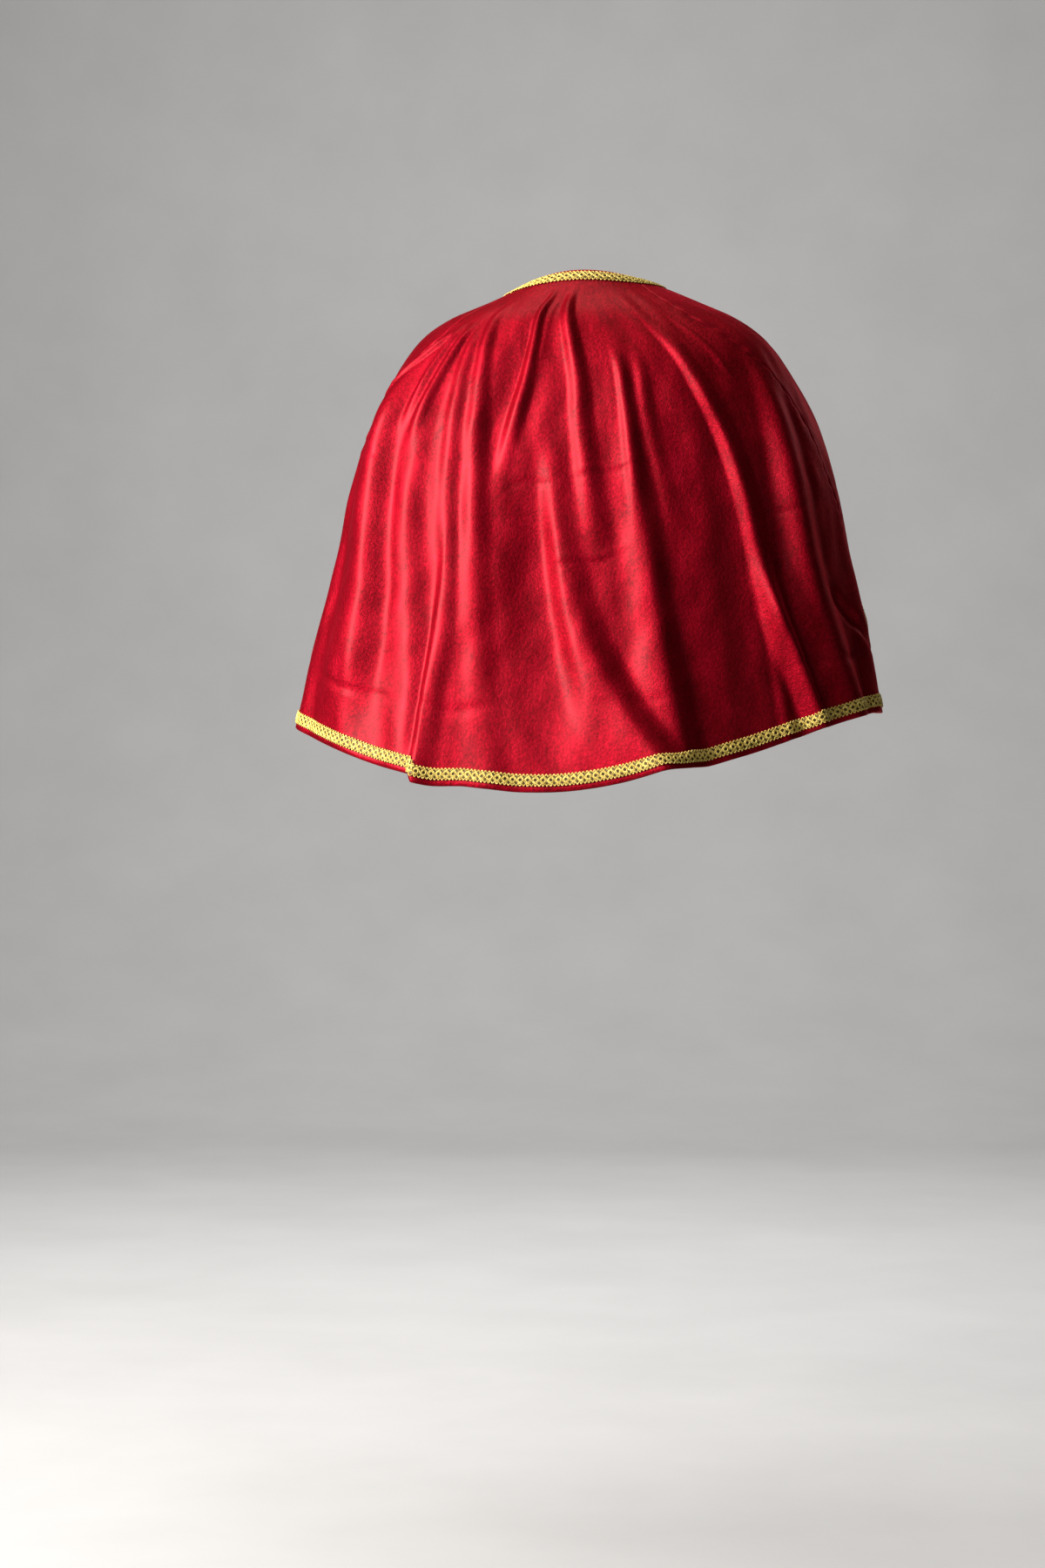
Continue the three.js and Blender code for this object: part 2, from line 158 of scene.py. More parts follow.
def atLevel(name, down):
    return curveThrough(levels["down"], levels[name], down)


def smooth(low, high, value):
    s = np.clip((value - low) / (high - low), 0, 1)
    return s * s * (3 - 2 * s)


def bump(share):
    return 0.5 + 0.5 * np.cos(np.pi * np.clip(np.abs(share), 0, 1))


def plainPoint(angle, down):
    # the cloth without its folds, in millimetres
    sin, cos = np.sin(angle), np.cos(angle)
    power = atLevel("square", down)
    reach = (np.abs(sin) ** power + np.abs(cos) ** power) ** (-1 / power)
    x = atLevel("side", down) * reach * sin + atLevel("shift", down)
    y = np.where(cos > 0, atLevel("back", down), atLevel("front", down)) * reach * cos
    middle = np.abs(cos) ** dropPower
    low = np.where(cos > 0, atLevel("backZ", down), atLevel("frontZ", down))
    z = atLevel("sideZ", down) * (1 - middle) + low * middle - atLevel("tilt", down) * x
    return np.stack([x, y, z], axis=-1)


def unit(vectors):
    return vectors / np.maximum(np.linalg.norm(vectors, axis=-1, keepdims=True), 1e-12)


def outward(pointOf, angle, down, step=1e-3):
    top = np.maximum(down - step, 0)
    low = np.minimum(down + step, 1)
    along = pointOf(angle + step, down) - pointOf(angle - step, down)
    below = pointOf(angle, low) - pointOf(angle, top)
    return unit(np.cross(along, below))


unevenness = {
    "size": 0.45,  # millimetres, how far the cloth wanders between its folds
    "waves": [(9, 11, 0.3), (17, 7, 1.9), (23, 19, 4.1), (31, 13, 2.6), (41, 29, 5.2)],  # round, down, phase
    "sway": 2.0,  # how far each wave bends on its way down
    "settled": (0.03, 0.20),  # the levels between which it sets in, below the neck
}
seams = {
    "pucker": 0.7,  # millimetres
    "puckerWaves": 34,
    "puckerSway": (2, 21),  # how far and how fast the puckers' spacing changes
    "puckerReach": 3.0,  # degrees from the seam
    "puckerSettled": (0.03, 0.10),
    "dip": 0.9,  # millimetres, how far the cloth turns in at a seam
    "dipReach": 1.1,  # degrees
}
creaseCourse = {
    "full": 0.25,  # the share of its length where a crossing crease is full
    "fade": 0.70,
    "wobble": 0.004,  # levels
    "wobbleTurns": 9,
    "wobbleShift": 40,  # sets the wobbles of two creases apart
}


def creaseLift(degrees, down):
    lift = 0
    for crease in crossCreases:
        share = (degrees - crease["begin"]) / (crease["end"] - crease["begin"])
        ends = smooth(0, creaseCourse["full"], share) * (1 - smooth(creaseCourse["fade"], 1, share))
        turn = share * creaseCourse["wobbleTurns"] + crease["level"] * creaseCourse["wobbleShift"]
        level = crease["level"] + crease["climb"] * (share - 0.5) + creaseCourse["wobble"] * np.sin(turn)
        lift = lift + crease["rise"] * ends * bump((down - level) / crease["reach"])
    return lift


def wanderLift(angle, down):
    lift = 0
    for around, below, phase in unevenness["waves"]:
        wander = np.sin(around * angle + phase + unevenness["sway"] * np.sin(below * down / 2 + phase))
        lift = lift + wander * np.sin(below * down + phase)
    return unevenness["size"] * lift * smooth(*unevenness["settled"], down)


def seamLift(degrees, down):
    fromSeam = np.abs(degrees) - atLevel("seam", down)
    sway, turns = seams["puckerSway"]
    ripple = np.sin(2 * np.pi * seams["puckerWaves"] * down + sway * np.sin(turns * down))
    near = bump(fromSeam / seams["puckerReach"]) * smooth(*seams["puckerSettled"], down)
    return seams["pucker"] * ripple * near - seams["dip"] * bump(fromSeam / seams["dipReach"])


def foldLift(angle, down):
    degrees = np.degrees(angle)
    lift = np.zeros(np.broadcast(angle, down).shape)
    for fold in folds:
        offset = degrees - curveThrough(crestLevels, fold["crest"], down)
        leftWidth = fold["left"][0] + (fold["left"][1] - fold["left"][0]) * down
        rightWidth = fold["right"][0] + (fold["right"][1] - fold["right"][0]) * down
        grown = smooth(fold["start"], fold["full"], down) * (1 - smooth(fold["fade"], fold["gone"], down))
        lift += fold["rise"] * grown * bump(offset / np.where(offset > 0, leftWidth, rightWidth))
    return lift + creaseLift(degrees, down) + wanderLift(angle, down) + seamLift(degrees, down)


def clothPoint(angle, down):
    point = plainPoint(angle, down) + outward(plainPoint, angle, down) * foldLift(angle, down)[..., None]
    offset = np.degrees(angle) - overlap["crest"]
    lap = bump(offset / np.where(offset > 0, overlap["left"], overlap["right"]))
    point[..., 2] -= overlap["drop"] * lap * smooth(overlap["start"], 1, down)
    return point


def spreadRound(angle, down, step=1e-3):
    # millimetres of cloth to a radian
    across = clothPoint(angle + step, down) - clothPoint(angle - step, down)
    return np.linalg.norm(across, axis=-1) / (2 * step)


def spreadDown(angle, down, step=1e-3):
    # millimetres of cloth to a whole level
    low = np.minimum(down + step, 1)
    return np.linalg.norm(clothPoint(angle, low) - clothPoint(angle, low - step), axis=-1) / step


def meshFrom(name, points, faces, materials, materialIndex=None, uv=None):
    # points in millimetres, faces an array of quads or a list of arrays of any size
    mesh = bpy.data.meshes.new(name)
    groups = faces if isinstance(faces, list) else [faces]
    corners = np.concatenate([group.ravel() for group in groups]).astype(np.int32)
    sizes = np.concatenate([np.full(len(group), group.shape[1]) for group in groups]).astype(np.int32)
    starts = np.concatenate([[0], np.cumsum(sizes)[:-1]]).astype(np.int32)
    mesh.vertices.add(len(points))
    mesh.vertices.foreach_set("co", (np.asarray(points) * millimetre).astype(np.float32).ravel())
    mesh.loops.add(len(corners))
    mesh.loops.foreach_set("vertex_index", corners)
    mesh.polygons.add(len(sizes))
    mesh.polygons.foreach_set("loop_start", starts)
    for material in materials:
        mesh.materials.append(material)
    if materialIndex is not None:
        mesh.polygons.foreach_set("material_index", np.asarray(materialIndex, np.int32))
    mesh.polygons.foreach_set("use_smooth", np.ones(len(sizes), bool))
    if uv is not None:
        layer = mesh.uv_layers.new(name="cloth")
        layer.data.foreach_set("uv", np.asarray(uv, np.float32)[corners].ravel())
    mesh.update(calc_edges=True)
    mesh.validate()
    piece = bpy.data.objects.new(name, mesh)
    bpy.context.scene.collection.objects.link(piece)
    return piece


def newMaterial(name):
    material = bpy.data.materials.new(name)
    material.use_nodes = True
    tree = material.node_tree
    shader = tree.nodes["Principled BSDF"]
    return material, tree, shader


def addNode(tree, kind, values=None, **settings):
    node = tree.nodes.new(kind)
    for key, value in settings.items():
        setattr(node, key, value)
    for socket, value in (values or {}).items():
        node.inputs[socket].default_value = value
    return node


def colourRamp(tree, factor, stops):
    ramp = addNode(tree, "ShaderNodeValToRGB")
    ramp.color_ramp.elements[0].position = stops[0][0]
    ramp.color_ramp.elements[0].color = (*stops[0][1], 1)
    ramp.color_ramp.elements[1].position = stops[-1][0]
    ramp.color_ramp.elements[1].color = (*stops[-1][1], 1)
    for position, colour in stops[1:-1]:
        ramp.color_ramp.elements.new(position).color = (*colour, 1)
    tree.links.new(factor, ramp.inputs["Fac"])
    return ramp.outputs["Color"]


def noiseOf(tree, vector, scale, detail=3.0, roughness=0.5):
    noise = addNode(tree, "ShaderNodeTexNoise", {"Scale": scale, "Detail": detail, "Roughness": roughness})
    tree.links.new(vector, noise.inputs["Vector"])
    return noise.outputs["Fac"]


def stretched(tree, vector, scale):
    mapping = addNode(tree, "ShaderNodeMapping", {"Scale": scale})
    tree.links.new(vector, mapping.inputs["Vector"])
    return mapping.outputs["Vector"]


def stackBumps(tree, shader, heights):
    # each height is (output, distance in metres, strength)
    normal = None
    for height, distance, strength in heights:
        node = addNode(tree, "ShaderNodeBump", {"Distance": distance, "Strength": strength})
        tree.links.new(height, node.inputs["Height"])
        if normal is not None:
            tree.links.new(normal, node.inputs["Normal"])
        normal = node.outputs["Normal"]
    tree.links.new(normal, shader.inputs["Normal"])


velvetLook = {
    "deep": (0.078, 0.0001, 0.0018),
    "body": (0.175, 0.0003, 0.0055),
    "brushed": (0.265, 0.0018, 0.0110),
    "roughness": (0.48, 0.60),
    "metallic": 0.85,
    "sheen": 0.25,
    "sheenRoughness": 0.30,
    "sheenTint": (1.0, 0.02, 0.06, 1),
    "specular": 0.3,
    "specularTint": (1.0, 0.05, 0.09, 1),
    "gloss": 0.075,  # the tips of the pile, which catch the light whiter than the rest
    "glossRoughness": 0.38,
    # scale or stretch, detail and roughness of each pattern, and its share of the nap
    "strokes": (24, 5, 0.62, 0.28),  # where the pile was stroked one way or the other
    "streaks": ((90, 22, 1), 4, 0.6, 0.27),
    "tufts": (280, 3, 0.7, 0.45),
    "pile": (1400, 2, 0.6),
    "napStops": (0.34, 0.50, 0.66),
    "napRange": (0.3, 0.7),
    "napRelief": (0.0040, 0.5),  # depth in metres, and strength
    "pileRelief": (0.0006, 0.5),
}


def velvetMaterial():
    material, tree, shader = newMaterial("crimson_velvet")
    place = addNode(tree, "ShaderNodeTexCoord")
    flat = place.outputs["UV"]
    solid = place.outputs["Object"]
    pile = noiseOf(tree, solid, *velvetLook["pile"])
    stretch, *streaks = velvetLook["streaks"]
    layers = [
        (noiseOf(tree, solid, *velvetLook["strokes"][:3]), velvetLook["strokes"][3]),
        (noiseOf(tree, stretched(tree, flat, stretch), 1, *streaks[:2]), streaks[2]),
        (noiseOf(tree, solid, *velvetLook["tufts"][:3]), velvetLook["tufts"][3]),
    ]
    nap = None
    for layer, share in layers:
        total = addNode(tree, "ShaderNodeMath", {1: share, 2: 0.0}, operation="MULTIPLY_ADD")
        tree.links.new(layer, total.inputs[0])
        if nap is not None:
            tree.links.new(nap.outputs[0], total.inputs[2])
        nap = total
    shades = [velvetLook[shade] for shade in ("deep", "body", "brushed")]
    colour = colourRamp(tree, nap.outputs[0], list(zip(velvetLook["napStops"], shades)))
    tree.links.new(colour, shader.inputs["Base Color"])
    low, high = velvetLook["napRange"]
    rough = addNode(tree, "ShaderNodeMapRange", {"From Min": low, "From Max": high,
                                                 "To Min": velvetLook["roughness"][1],
                                                 "To Max": velvetLook["roughness"][0]})
    tree.links.new(nap.outputs[0], rough.inputs["Value"])
    tree.links.new(rough.outputs["Result"], shader.inputs["Roughness"])
    shader.inputs["Sheen Weight"].default_value = velvetLook["sheen"]
    shader.inputs["Sheen Roughness"].default_value = velvetLook["sheenRoughness"]
    shader.inputs["Sheen Tint"].default_value = velvetLook["sheenTint"]
    shader.inputs["Specular Tint"].default_value = velvetLook["specularTint"]
    shader.inputs["Specular IOR Level"].default_value = velvetLook["specular"]
    shader.inputs["Metallic"].default_value = velvetLook["metallic"]
    shader.inputs["Coat Weight"].default_value = velvetLook["gloss"]
    shader.inputs["Coat Roughness"].default_value = velvetLook["glossRoughness"]
    stackBumps(tree, shader, [(nap.outputs[0], *velvetLook["napRelief"]), (pile, *velvetLook["pileRelief"])])
    return material


reverseLook = {
    "thread": (0.17, 0.002, 0.010),
    "gap": (0.075, 0.0005, 0.004),
    "stops": (0.35, 0.85),
    "weave": 900,  # size of the weave's pattern
    "threadWave": {"Scale": 0.5, "Distortion": 0.6, "Detail": 1.0},
    "cloud": (30, 4, 0.6),
    "weaveShare": 0.35,
    "roughness": 0.85,
    "specular": 0.2,
    "sheen": 0.1,
    "sheenTint": (1.0, 0.1, 0.12, 1),
    "weaveRelief": (0.0003, 0.4),
    "cloudRelief": (0.002, 0.2),
}


def reverseMaterial():
    # the woven back of the velvet, seen inside the cape
    material, tree, shader = newMaterial("velvet_reverse")
    place = addNode(tree, "ShaderNodeTexCoord")
    scaled = stretched(tree, place.outputs["UV"], (reverseLook["weave"], reverseLook["weave"], 1))
    threads = []
    for direction in ("X", "Y"):
        wave = addNode(tree, "ShaderNodeTexWave", reverseLook["threadWave"], bands_direction=direction)
        tree.links.new(scaled, wave.inputs["Vector"])
        threads.append(wave.outputs["Fac"])
    weave = addNode(tree, "ShaderNodeMath", operation="MULTIPLY")
    tree.links.new(threads[0], weave.inputs[0])
    tree.links.new(threads[1], weave.inputs[1])
    cloud = noiseOf(tree, place.outputs["Object"], *reverseLook["cloud"])
    both = addNode(tree, "ShaderNodeMath", {1: reverseLook["weaveShare"]}, operation="MULTIPLY_ADD")
    tree.links.new(weave.outputs[0], both.inputs[0])
    tree.links.new(cloud, both.inputs[2])
    shades = [reverseLook["gap"], reverseLook["thread"]]
    colour = colourRamp(tree, both.outputs[0], list(zip(reverseLook["stops"], shades)))
    tree.links.new(colour, shader.inputs["Base Color"])
    shader.inputs["Roughness"].default_value = reverseLook["roughness"]
    shader.inputs["Specular IOR Level"].default_value = reverseLook["specular"]
    shader.inputs["Sheen Weight"].default_value = reverseLook["sheen"]
    shader.inputs["Sheen Tint"].default_value = reverseLook["sheenTint"]
    stackBumps(tree, shader, [(weave.outputs[0], *reverseLook["weaveRelief"]),
                              (cloud, *reverseLook["cloudRelief"])])
    return material


goldLook = {
    "shade": (0.165, 0.102, 0.008),
    "body": (0.46, 0.318, 0.042),
    "glint": (0.82, 0.67, 0.20),
    "stops": (0.30, 0.62, 0.95),
    "twist": 0.0011,  # metres between the turns of the thread round a cord
    "wave": 0.31,  # length of one wave in units of the wave texture
    "cloud": (220, 3, 0.6),
    "twistShare": 0.35,
    "metallic": 0.25,
    "roughness": 0.55,
    "relief": (0.0003, 0.6),
}


def goldMaterial():
    material, tree, shader = newMaterial("gold_thread")
    place = addNode(tree, "ShaderNodeTexCoord")
    wave = addNode(tree, "ShaderNodeTexWave", {"Scale": 1.0, "Distortion": 0.0}, bands_direction="DIAGONAL")
    pitch = goldLook["wave"] / goldLook["twist"]
    tree.links.new(stretched(tree, place.outputs["UV"], (pitch, pitch, 1)), wave.inputs["Vector"])
    cloud = noiseOf(tree, place.outputs["Object"], *goldLook["cloud"])
    mixed = addNode(tree, "ShaderNodeMath", {1: goldLook["twistShare"]}, operation="MULTIPLY_ADD")
    tree.links.new(wave.outputs["Fac"], mixed.inputs[0])
    tree.links.new(cloud, mixed.inputs[2])
    shades = [goldLook[shade] for shade in ("shade", "body", "glint")]
    colour = colourRamp(tree, mixed.outputs[0], list(zip(goldLook["stops"], shades)))
    tree.links.new(colour, shader.inputs["Base Color"])
    shader.inputs["Metallic"].default_value = goldLook["metallic"]
    shader.inputs["Roughness"].default_value = goldLook["roughness"]
    stackBumps(tree, shader, [(wave.outputs["Fac"], *goldLook["relief"])])
    return material


tapeLook = {
    "dark": (0.022, 0.012, 0.002),
    "light": (0.10, 0.060, 0.008),
    "stops": (0.3, 0.7),
    "grain": ((2600, 900, 1), 3, 0.6),  # stretch, detail and roughness
    "metallic": 0.55,
    "roughness": 0.5,
    "relief": (0.0003, 0.6),
}


def tapeMaterial():
    # the woven tape that carries the cords of the braid
    material, tree, shader = newMaterial("gold_tape")
    place = addNode(tree, "ShaderNodeTexCoord")
    stretch, detail, roughness = tapeLook["grain"]
    grain = noiseOf(tree, stretched(tree, place.outputs["UV"], stretch), 1, detail, roughness)
    shades = [tapeLook["dark"], tapeLook["light"]]
    tree.links.new(colourRamp(tree, grain, list(zip(tapeLook["stops"], shades))), shader.inputs["Base Color"])
    shader.inputs["Metallic"].default_value = tapeLook["metallic"]
    shader.inputs["Roughness"].default_value = tapeLook["roughness"]
    stackBumps(tree, shader, [(grain, *tapeLook["relief"])])
    return material


wireLook = {
    "dull": (0.42, 0.42, 0.42),
    "bright": (0.62, 0.62, 0.61),
    "stops": (0.3, 0.7),
    "wear": (900, 3, 0.6),
    "metallic": 1.0,
    "roughness": 0.3,
    "relief": (0.0001, 0.2),
}


def wireMaterial():
    material, tree, shader = newMaterial("plated_wire")
    place = addNode(tree, "ShaderNodeTexCoord")
    wear = noiseOf(tree, place.outputs["Object"], *wireLook["wear"])
    shades = [wireLook["dull"], wireLook["bright"]]
    tree.links.new(colourRamp(tree, wear, list(zip(wireLook["stops"], shades))), shader.inputs["Base Color"])
    shader.inputs["Metallic"].default_value = wireLook["metallic"]
    shader.inputs["Roughness"].default_value = wireLook["roughness"]
    stackBumps(tree, shader, [(wear, *wireLook["relief"])])
    return material


velvet = velvetMaterial()
reverse = reverseMaterial()
goldThread = goldMaterial()
goldTape = tapeMaterial()
platedWire = wireMaterial()
print("materials made")

cloth = {
    "thickness": 2.0,  # millimetres
    "rows": 158,
    "backColumns": 290,
    "frontColumns": 120,
    "seamGap": 0.05,
    "roundness": 0.9,  # how far a free edge is rounded out
    "flatRound": 0.2,  # metres of the cloth's pattern to a radian
    "flatDown": 0.65,  # metres of it from the neck to the hem
    # angle, reach and strength of the places where the back's columns stand closer: where the cloth folds
    # over itself, and the steep fold on the right
    "closer": [(26, 7, 2.2), (-46, 16, 0.6)],
    "densitySteps": 2000,
}


def evenShare(columns):
    return np.linspace(0, 1, columns + 1)


def backShare(columns):
    # the back reaches from about -90 to 90 degrees
    share = np.linspace(0, 1, cloth["densitySteps"] + 1)
    angle = 180 * share - 90
    density = np.ones_like(angle)
    for middle, reach, strength in cloth["closer"]:
        density += strength * bump((angle - middle) / reach)
    run = np.concatenate([[0], np.cumsum((density[1:] + density[:-1]) / 2)])
    return np.interp(np.linspace(0, run[-1], columns + 1), run, share)


def clothShell(name, begin, end, share, rim):
    # a thin closed shell between two angles that change with the level; rim says which edges are free
    down = np.linspace(0, 1, cloth["rows"] + 1)[:, None]
    share = share[None, :]
    first, last = begin(down), end(down)
    angle = first + (last - first) * share
    down = np.broadcast_to(down, angle.shape)
    outer = clothPoint(angle, down)
    out = outward(clothPoint, angle, down)
    inner = outer - out * cloth["thickness"]
    rows, width = angle.shape
    index = np.arange(rows * width).reshape(rows, width)
    a, b, c, d = index[:-1, :-1], index[:-1, 1:], index[1:, :-1], index[1:, 1:]
    outside = np.stack([a, b, d, c], axis=-1).reshape(-1, 4)
    inside = np.stack([a, c, d, b], axis=-1).reshape(-1, 4) + rows * width
    loop = np.concatenate([index[0, :-1], index[:-1, -1], index[-1, :0:-1], index[:0:-1, 0]])
    push = np.zeros_like(outer)
    push[0] += unit(outer[0] - outer[1]) * rim["neck"]
    push[-1] += unit(outer[-1] - outer[-2]) * rim["hem"]
    push[:, 0] += unit(outer[:, 0] - outer[:, 1]) * rim["first"]
    push[:, -1] += unit(outer[:, -1] - outer[:, -2]) * rim["last"]
    middle = ((outer + inner) / 2 + push * cloth["roundness"]).reshape(-1, 3)[loop]
    rimIndex = np.arange(len(loop)) + 2 * rows * width
    after = np.roll(np.arange(len(loop)), -1)
    upper = np.stack([loop[after], loop, rimIndex, rimIndex[after]], axis=-1)
    lower = np.stack([rimIndex[after], rimIndex, loop + rows * width, loop[after] + rows * width], axis=-1)
    points = np.concatenate([outer.reshape(-1, 3), inner.reshape(-1, 3), middle])
    flat = np.stack([angle * cloth["flatRound"], down * cloth["flatDown"]], axis=-1).reshape(-1, 2)
    uv = np.concatenate([flat, flat, flat[loop]])
    faces = np.concatenate([outside, upper, lower, inside])
    material = np.zeros(len(faces), int)
    material[-len(inside):] = 1
    return meshFrom(name, points, faces, [velvet, reverse], material, uv)


def seamAngle(way, side):
    # the seam's angle, with half the seam's gap taken off on the given side
    def at(down):
        angle = way * np.radians(atLevel("seam", down))
        return angle + side * cloth["seamGap"] / 2 / spreadRound(angle, down)
    return at


def edgeAngle(name, way):
    return lambda down: way * np.radians(atLevel(name, down))


back = clothShell("cape_back", seamAngle(-1, 1), seamAngle(1, -1), backShare(cloth["backColumns"]),
                  {"neck": 1, "hem": 1, "first": 0, "last": 0})
print("back laid out")
frontRight = clothShell("cape_front_right", edgeAngle("rightEdge", -1), seamAngle(-1, -1),
                        evenShare(cloth["frontColumns"]), {"neck": 1, "hem": 1, "first": 1, "last": 0})
frontLeft = clothShell("cape_front_left", seamAngle(1, 1), edgeAngle("leftEdge", 1),
                       evenShare(cloth["frontColumns"]), {"neck": 1, "hem": 1, "first": 0, "last": 1})
print("fronts laid out")

braid = {
    "width": 14.0,  # millimetres
    "neckMargin": 3.0,
    "hemMargin": 6.0,
    "frontMargin": 6.0,
    "cornerGap": 0.3,  # between a front braid and the braid that it meets
    "lift": 0.35,  # the tape's underside above the velvet
    "tapeWidth": 9.8,
    "tapeThickness": 0.45,
    "tapeEdge": 0.6,  # the tape's thickness at its edge, where it rounds over, and in the middle, as shares
    "tapeRound": 0.8,
    "tapeCrown": 1.15,
    "tapeStep": 2.2,
    "routeStep": 0.8,
    "acrossSamples": 3000,
    "frontSamples": 1200,
    "motif": 9.0,  # length of one eyelet
    "ringRadius": 2.6,
    "ringCord": 0.8,
    "ringHeight": 1.25,
    "ringSteps": 14,
    "cordSides": 6,
    "endGap": 0.4,  # the cords stop short of the tape's ends
    "waveReach": 4.1,  # the crossing cords swing this far from the middle
    "waveCord": 0.7,
    "waveHeight": 1.15,
    "waveRise": 0.35,  # one cord passes over the other
    "waveStep": 0.9,
    "pipCentre": 5.55,
    "pipReach": 1.25,
    "pipCord": 0.7,
    "pipHeight": 0.95,
    "pipRise": 0.2,
    "pipSteps": 8,
    "pipSides": 5,
}


def braidRoute(angle, down):
    # the middle line of a stretch of braid on the velvet, with its frame, evenly stepped
    points = clothPoint(angle, down)
    out = outward(clothPoint, angle, down)
    length = np.concatenate([[0], np.cumsum(np.linalg.norm(np.diff(points, axis=0), axis=1))])
    even = np.linspace(0, length[-1], int(length[-1] / braid["routeStep"]))
    middle = np.stack([np.interp(even, length, points[:, k]) for k in range(3)], axis=1)
    out = unit(np.stack([np.interp(even, length, out[:, k]) for k in range(3)], axis=1))
    along = unit(np.gradient(middle, axis=0))
    out = unit(out - along * np.sum(out * along, axis=1, keepdims=True))
    return {"length": even, "middle": middle, "out": out, "across": np.cross(along, out)}


def alongRoute(route, key, along):
    return np.stack([np.interp(along, route["length"], route[key][:, k]) for k in range(3)], axis=-1)


def onRoute(route, along, across, height):
    # places given in the braid's own flat pattern, laid on its route
    return (alongRoute(route, "middle", along) + alongRoute(route, "across", along) * across[..., None]
            + alongRoute(route, "out", along) * height[..., None])


def cordMesh(centres, outs, radius, sides, closed):
    # round cords along rows of centres: returns points, quads and uv
    ahead = np.roll(centres, -1, axis=1) - np.roll(centres, 1, axis=1)
    if not closed:
        ahead[:, 0] = centres[:, 1] - centres[:, 0]
        ahead[:, -1] = centres[:, -1] - centres[:, -2]
    along = unit(ahead)
    aside = unit(np.cross(along, outs))
    up = np.cross(aside, along)
    turn = 2 * np.pi * np.arange(sides) / sides
    ring = np.cos(turn)[:, None] * aside[:, :, None, :] + np.sin(turn)[:, None] * up[:, :, None, :]
    points = centres[:, :, None, :] + radius * ring
    cords, steps = centres.shape[:2]
    index = np.arange(cords * steps * sides).reshape(cords, steps, sides)
    nextStep = np.roll(index, -1, axis=1)
    if not closed:
        index, nextStep = index[:, :-1], nextStep[:, :-1]
    quads = np.stack([index, nextStep, np.roll(nextStep, -1, axis=2), np.roll(index, -1, axis=2)], axis=-1)
    run = np.cumsum(np.linalg.norm(np.diff(centres, axis=1, prepend=centres[:, :1]), axis=-1), axis=1)
    uv = np.stack([np.repeat(run[:, :, None], sides, axis=2),
                   np.broadcast_to(turn * radius, points.shape[:3])], axis=-1) * millimetre
    return points.reshape(-1, 3), quads.reshape(-1, 4), uv.reshape(-1, 2)


def capped(points, quads, uv, steps, sides):
    # closes both ends of one open cord
    first = np.arange(sides)[None]
    last = (np.arange(sides) + (steps - 1) * sides)[None, ::-1]
    return points, [quads, first, last], uv


def openCord(route, along, across, height, radius, sides):
    # one cord of the braid, as a part for the gold thread
    centres = onRoute(route, along, across, height)[None]
    outs = alongRoute(route, "out", along)[None]
    return *capped(*cordMesh(centres, outs, radius, sides, False), len(along), sides), 0


def layBraid(name, route):
    total = route["length"][-1]
    motifs = max(1, round(total / braid["motif"]))
    pitch = total / motifs
    parts = []

    tapeAlong = np.linspace(0, total, int(total / braid["tapeStep"]) + 1)
    half, low = braid["tapeWidth"] / 2, braid["lift"]
    bend, top = half * braid["tapeRound"], low + braid["tapeThickness"]
    edge = low + braid["tapeThickness"] * braid["tapeEdge"]
    crown = low + braid["tapeThickness"] * braid["tapeCrown"]
    section = [(-half, low), (-half, edge), (-bend, top), (0, crown),
               (bend, top), (half, edge), (half, low), (0, low)]
    same = np.ones_like(tapeAlong)
    tape = np.stack([onRoute(route, tapeAlong, across * same, height * same) for across, height in section],
                    axis=1)
    steps, sides = tape.shape[:2]
    index = np.arange(steps * sides).reshape(steps, sides)
    lower, upper = index[:-1], index[1:]
    tapeQuads = np.stack([lower, np.roll(lower, -1, axis=1), np.roll(upper, -1, axis=1), upper], axis=-1)
    tapeUv = np.stack(np.broadcast_arrays(tapeAlong[:, None], [across for across, _ in section]), axis=-1)
    parts.append((tape.reshape(-1, 3), [tapeQuads.reshape(-1, 4), index[:1, ::-1], index[-1:]],
                  tapeUv.reshape(-1, 2) * millimetre, 1))

    turn = 2 * np.pi * np.arange(braid["ringSteps"]) / braid["ringSteps"]
    centre = (np.arange(motifs)[:, None] + 0.5) * pitch
    ringAlong = centre + braid["ringRadius"] * np.cos(turn)
    ringAcross = np.broadcast_to(braid["ringRadius"] * np.sin(turn), ringAlong.shape)
    rings = onRoute(route, ringAlong, ringAcross, np.full(ringAlong.shape, braid["ringHeight"]))
    ringOut = alongRoute(route, "out", ringAlong)
    points, quads, uv = cordMesh(rings, ringOut, braid["ringCord"], braid["cordSides"], True)
    parts.append((points, [quads], uv, 0))

    first, last = braid["endGap"], total - braid["endGap"]
    waveAlong = np.linspace(first, last, int(total / braid["waveStep"]))
    for way in (1, -1):
        phase = np.pi * waveAlong / pitch
        across = way * braid["waveReach"] * np.sin(phase)
        height = braid["waveHeight"] + way * braid["waveRise"] * np.cos(phase)
        parts.append(openCord(route, waveAlong, across, height, braid["waveCord"], braid["cordSides"]))

    pipAlong = np.linspace(first, last, motifs * 2 * braid["pipSteps"])
    for way in (1, -1):
        phase = 4 * np.pi * pipAlong / pitch + (0 if way > 0 else np.pi / 2)
        across = way * (braid["pipCentre"] + braid["pipReach"] * np.sin(phase))
        height = braid["pipHeight"] + braid["pipRise"] * np.cos(phase)
        parts.append(openCord(route, pipAlong, across, height, braid["pipCord"], braid["pipSides"]))

    allPoints, allFaces, allUv, slots, count = [], [], [], [], 0
    for points, faces, uv, slot in parts:
        for group in faces:
            allFaces.append(group + count)
            slots.append(np.full(len(group), slot))
        allPoints.append(points)
        allUv.append(uv)
        count += len(points)
    return meshFrom(name, np.concatenate(allPoints), allFaces, [goldThread, goldTape],
                    np.concatenate(slots), np.concatenate(allUv))


